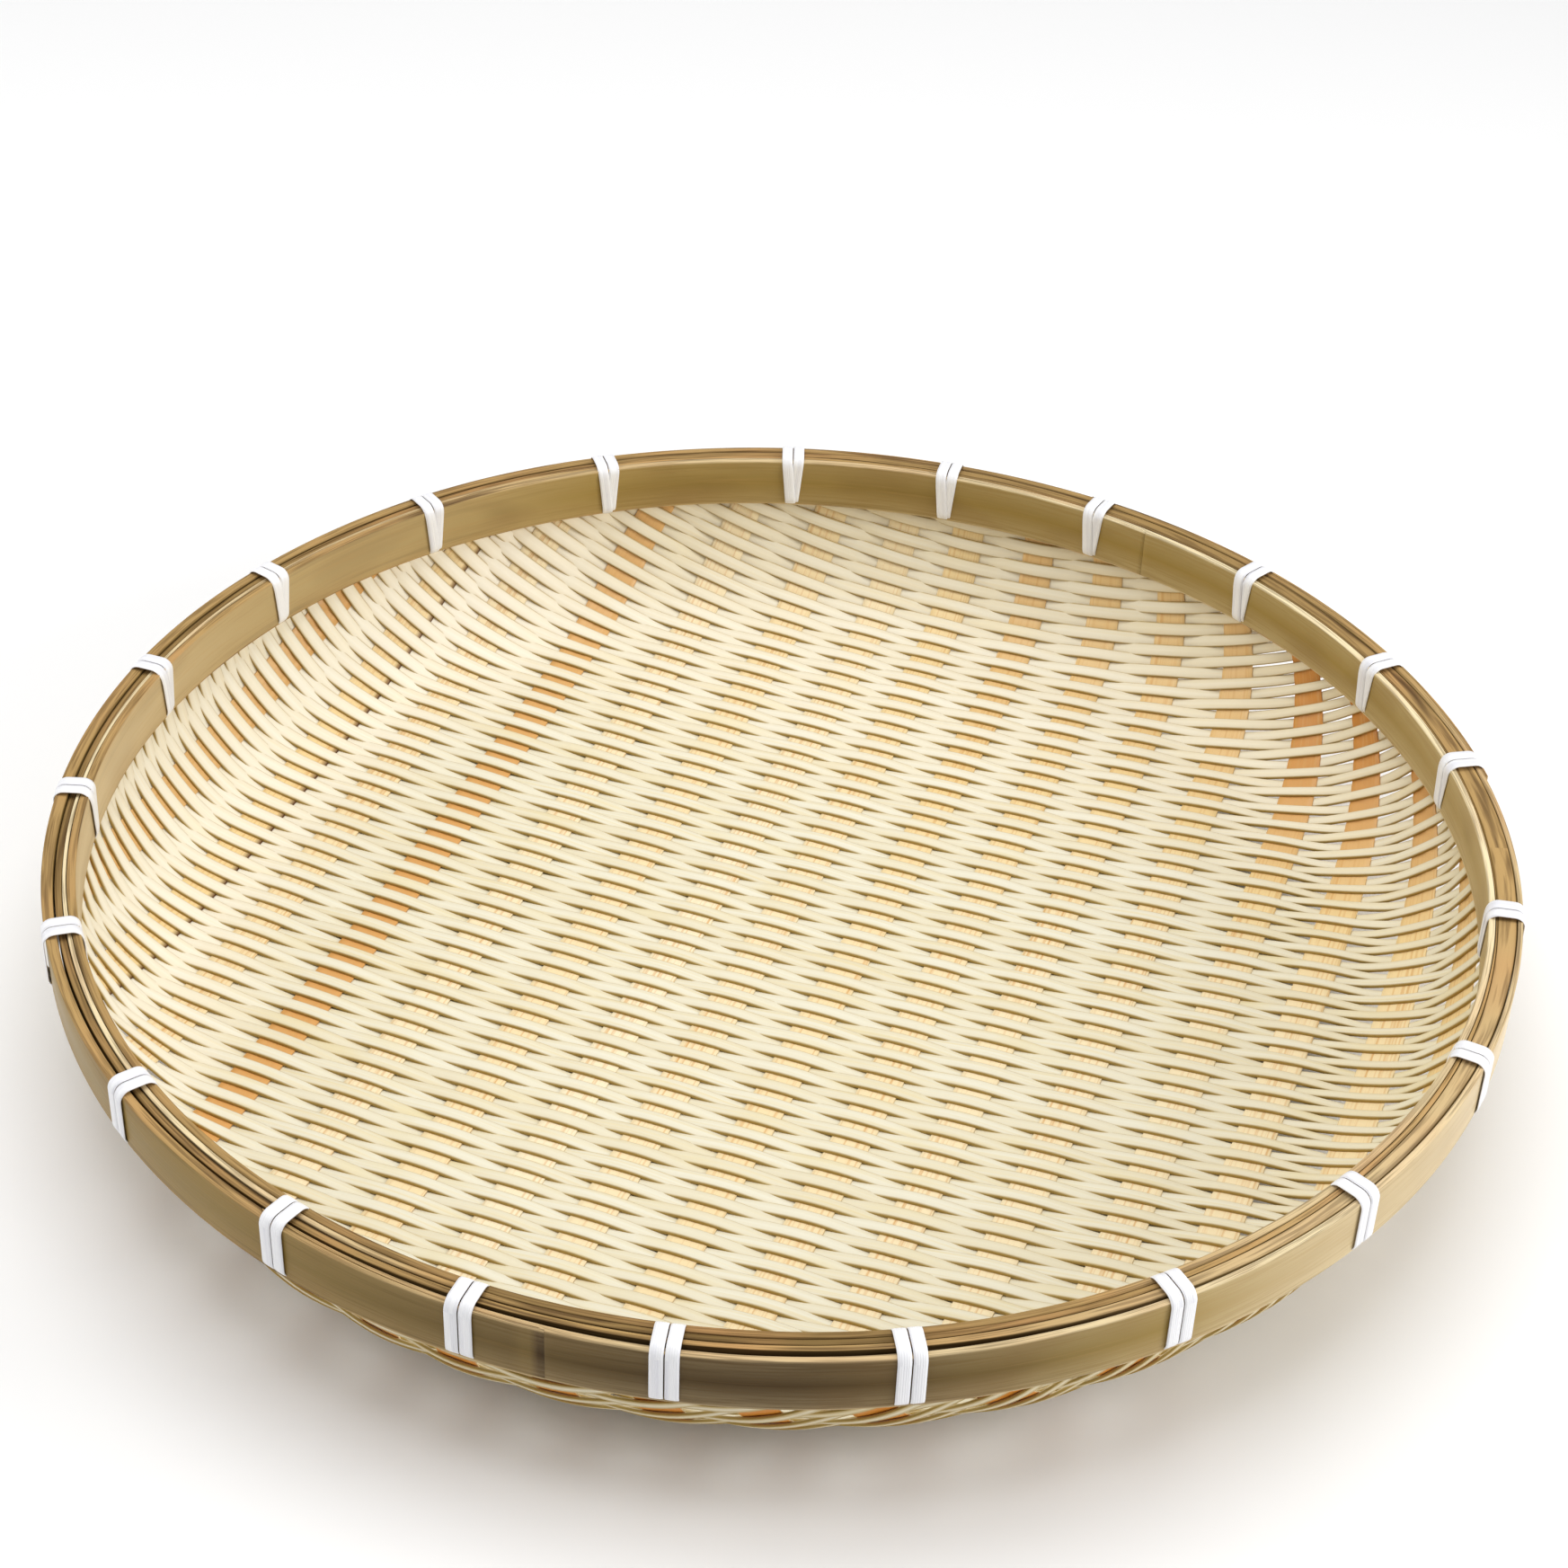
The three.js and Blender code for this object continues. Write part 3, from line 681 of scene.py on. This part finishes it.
def hoop(start, inside_of, outside_of, tone, pale, hidden):
    angles = start + np.linspace(0, 2 * math.pi + LAP, round(ROWS_PER_TURN * (1 + LAP / (2 * math.pi))))
    under = np.clip(1 - (angles - start) / LAP, 0, 1)
    over = np.clip((angles - start - 2 * math.pi) / LAP, 0, 1)
    lapped = angles > start + 2 * math.pi
    inside, outside = inside_of(angles), outside_of(angles)
    slope = outside - inside - 2 * TIP
    low = np.where(lapped, inside + TIP + slope * over + LAP_GAP, inside)
    high = np.where(angles < start + LAP, outside - TIP - slope * under - LAP_GAP, outside)
    rise = waves(angles, 0.25 * MM, 2, 5, 11)
    bottom, top = HOOP_BOTTOM + rise, HOOP_TOP + rise - 0.1 * MM
    shaved = soft_step(angles, angles[-1] - SHAVED_END, angles[-1] - 0.8 * SHAVED_END)
    tones = round_rim(angles, *tone) + 0.06 * shaved - 0.3 * soft_step(angles, angles[-3], angles[-1])
    return rim_strip(angles, low, high, bottom, top, tones, round_rim(angles, *pale), [hidden], ring=False)


def outer_face(angle):
    return RIM_RADIUS - 0.15 * MM + waves(angle, 0.12 * MM, 3, 7)


# The outer hoop's tones hold painted shade at the front, where they are darkest, and a painted sheen on the
# right, where they are palest.
OUTER_TONES_SHADE_AND_SHEEN = (1.0, 0.6, 0.5, 0.5, 0.5, 0.36, 0.02, 0.72)
OUTER_PALES = (0.7, 0.35, 0.45, 0.42, 0.42, 0.5, 0.75, 0.95)
outer_strips = [hoop(OUTER_LAP, outer_hoop_inside, outer_face, OUTER_TONES_SHADE_AND_SHEEN, OUTER_PALES, hidden=0)]
EXTRA_START, EXTRA_END = math.radians(9.5), math.radians(62)


def extra_strip(angle):
    """How thick the extra strip is: it gets thinner towards its far end."""
    return 0.7 * MM * (1 - soft_step(angle, math.radians(40), EXTRA_END)) + 0.1 * MM


angles = np.linspace(EXTRA_START, EXTRA_END, 140)
face = np.full_like(angles, RIM_RADIUS)
extra_bottom = np.full_like(angles, HOOP_BOTTOM + 0.4 * MM)
extra_top = np.full_like(angles, HOOP_TOP)
extra_outside = face + extra_strip(angles)
outer_strips.append(rim_strip(angles, face, extra_outside, extra_bottom, extra_top, 0.85, 0.5, ring=False))
piece = strip_mesh("outer_bamboo_hoop", outer_strips)
piece.data.materials.append(rim_finish)
put_on_tray(piece, "hoop", "outer_hoop")


def inner_hoop_outside(angle):
    return inner_filler_inside(angle) - STRIP_GAP


INNER_TONES = (0.55, 0.48, 0.42, 0.62, 0.76, 0.5, 0.2, 0.5)
INNER_PALES = (1.0, 1.0, 0.75, 0.5, 0.45, 0.4, 0.2, 0.75)
inner_strips = [hoop(INNER_LAP, inner_hoop_inside, inner_hoop_outside, INNER_TONES, INNER_PALES, hidden=1)]
piece = strip_mesh("inner_bamboo_hoop", inner_strips)
piece.data.materials.append(rim_finish)
put_on_tray(piece, "hoop", "inner_hoop")

# %% Fillers
FILLER_TONE = 0.3
FILLER_DEPTH = 8 * MM
angles = np.linspace(0, 2 * math.pi, ROWS_PER_TURN, endpoint=False)
drop = round_rim(angles, 0.3, 0.3, 0.4, 0.8, 1.2, 0.9, 0.5, 0.3) * MM
filler_top = HOOP_TOP - drop + waves(angles, 0.15 * MM, 4, 9, 17)
filler_bottom = np.full_like(angles, HOOP_TOP - FILLER_DEPTH)
pale = round_rim(angles, 0.5, 0.3, 0.3, 0.25, 0.3, 0.3, 0.5, 0.7)
low, high = outer_filler_inside(angles), outer_filler_outside(angles)
outer_filler = rim_strip(angles, low, high, filler_bottom, filler_top, FILLER_TONE, pale, (0, 1))
piece = strip_mesh("outer_rim_filler", [outer_filler])
piece.data.materials.append(rim_finish)
put_on_tray(piece, "hoop", "wefts_on_outer_splint")
filler_top = HOOP_TOP - 0.35 * MM + waves(angles, 0.15 * MM, 5, 8, 13)
pale = round_rim(angles, 0.4, 0.1, 0.4, 0.7, 1.0, 0.9, 0.1, 0.55)
low, high = inner_filler_inside(angles), outer_filler_inside(angles) - STRIP_GAP
inner_filler = rim_strip(angles, low, high, filler_bottom, filler_top, FILLER_TONE, pale, (0, 1))
piece = strip_mesh("inner_rim_filler", [inner_filler])
piece.data.materials.append(rim_finish)
put_on_tray(piece, "hoop", "wefts_on_inner_splint")
fillers = (outer_filler, inner_filler)
print("rim strips:", len(outer_strips) + len(inner_strips) + len(fillers))

# %% [markdown]
# ## Straps
# Twenty-one flat white straps tie the rim, each wound round it twice. On the
# outside and on top the two passes lie side by side. Inside they run
# together towards the bottom, where both go through the mat at one place.

# %% Strap material
strap_finish, tree, surface = new_material("strap_plastic")
RIBS_PER_METRE = 9000.0
on_strip = put(tree, "ShaderNodeUVMap", uv_map="strip").outputs[0]
across = put(tree, "ShaderNodeSeparateXYZ", {0: on_strip}).outputs[1]
ribs = math_node(tree, "SINE", math_node(tree, "MULTIPLY", across, RIBS_PER_METRE))
look = grain_in(tree, 1800, 0.02)
white = mixed(tree, between(tree, look["Streaks"], 0.45, 0.8), srgb(243, 243, 245), srgb(222, 222, 229))
strap_shader = satin(tree, white, 0.35, 0.5)
relief = math_node(tree, "ADD", ribs, look["Fibres"])
tree.links.new(bumped(tree, relief, 0.03 * MM), strap_shader.inputs["Normal"])
tree.links.new(strap_shader.outputs[0], surface)
print("material:", strap_finish.name)

# %% Straps
STRAP_WIDTH = 4.1 * MM
STRAP_THICKNESS = 0.45 * MM
STRAP_CORNER = 3.4 * MM
STRAP_CROWN = 1.2 * MM
STRAP_CLEARANCE = 0.35 * MM
PASS_APART = 2.2 * MM
PASS_NEARER = 1.8 * MM
PASS_RAISED = 0.4 * MM
STRAP_TUCK = 0.2 * MM
STRAP_ROW = 1.2 * MM
strap_profile = np.array([
    (-1, 0.1), (-0.94, 0.8), (-0.5, 1), (0.5, 1), (0.94, 0.8), (1, 0.1), (0.9, 0), (-0.9, 0),
])


def strap_path(inside, outside, bottom, top):
    """The way round the rim's section: its points and outward normals."""
    points, normals = [], []
    centres = (((outside, top), 0), ((inside, top), 90), ((inside, bottom), 180), ((outside, bottom), 270))
    for (r, z), start in centres:
        r -= math.copysign(STRAP_CORNER, r - (inside + outside) / 2)
        z -= math.copysign(STRAP_CORNER, z - (bottom + top) / 2)
        for turn in np.radians(start + np.linspace(0, 90, 7)):
            normal = np.array([math.cos(turn), math.sin(turn)])
            points.append(np.array([r, z]) + STRAP_CORNER * normal)
            normals.append(normal)
    dense, dense_normals = [], []
    for i in range(len(points)):
        ahead, ahead_normal = points[(i + 1) % len(points)], normals[(i + 1) % len(points)]
        parts = max(1, int(np.linalg.norm(ahead - points[i]) / STRAP_ROW))
        for part in range(parts):
            dense.append(points[i] + (ahead - points[i]) * part / parts)
            dense_normals.append(normals[i] + (ahead_normal - normals[i]) * part / parts)
    return np.array(dense), np.array(dense_normals)


def strap_pass(angle, side):
    turn = math.radians(angle)
    inside = float(inner_hoop_inside(np.array(turn))) - STRAP_TUCK
    under = extra_strip(turn) if EXTRA_START < turn < EXTRA_END else 0
    outside = RIM_RADIUS + STRAP_CLEARANCE + under
    path, normals = strap_path(inside, outside, HOOP_BOTTOM - STRAP_CLEARANCE, HOOP_TOP + STRAP_CROWN)
    height = (path[:, 1] - HOOP_BOTTOM) / (HOOP_TOP - HOOP_BOTTOM)
    inward = soft_step(-path[:, 0], -RIM_RADIUS + 2 * MM, -inside)
    together = inward * (1 - np.clip(height, 0, 1))
    apart = side * (PASS_APART - PASS_NEARER * together)
    raised = (PASS_RAISED if side > 0 else 0) * soft_step(together, 0.02, 0.25)
    t = apart[:, None] + strap_profile[None, :, 0] * STRAP_WIDTH / 2
    n = raised[:, None] + strap_profile[None, :, 1] * STRAP_THICKNESS
    r = path[:, 0, None] + n * normals[:, 0, None]
    z = path[:, 1, None] + n * normals[:, 1, None]
    x = r * math.cos(turn) - t * math.sin(turn)
    y = r * math.sin(turn) + t * math.cos(turn)
    return {"points": np.stack([x, y, z], -1), "ring": True, "strand": rng.random()}


FIRST_STRAP = 197.6
STRAP_STEPS = [0, 18, 18, 17, 18, 18, 18, 15, 15, 17, 17, 15, 20, 18, 18, 17, 19, 16, 14, 15, 18]
angle = FIRST_STRAP
for number, turned in enumerate(STRAP_STEPS):
    angle -= turned
    piece = strip_mesh(f"strap_{number + 1:02d}", [strap_pass(angle, side) for side in (-1, 1)])
    piece.data.materials.append(strap_finish)
    put_on_tray(piece, "strap", f"lashing_{number + 1:02d}")
print("straps:", len(STRAP_STEPS))

# %% [markdown]
# ## Floor
# A wide pale sheet that isn't part of the object.

# %% Floor
FLOOR_HALF = 6
floor_mesh = bpy.data.meshes.new("floor")
floor_corners = [(x * FLOOR_HALF, y * FLOOR_HALF, 0) for x, y in ((-1, -1), (1, -1), (1, 1), (-1, 1))]
floor_mesh.from_pydata(floor_corners, [], [(0, 1, 2, 3)])
floor = bpy.data.objects.new("floor", floor_mesh)
scene.collection.objects.link(floor)
paper, tree, surface = new_material("pale_floor")
paper_shader = put(tree, "ShaderNodeBsdfPrincipled", {"Base Color": (0.9, 0.9, 0.9, 1), "Roughness": 0.8})
tree.links.new(paper_shader.outputs[0], surface)
floor_mesh.materials.append(paper)
floor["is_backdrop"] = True
print("floor:", 2 * FLOOR_HALF, "m wide")

# %% [markdown]
# ## Size
# The dressed tray should keep to the CAD model's size, so the visual box is
# printed.

# %% Print the visual box
low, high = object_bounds()
print("visual box in mm:", [round(x / MM, 1) for x in high - low])
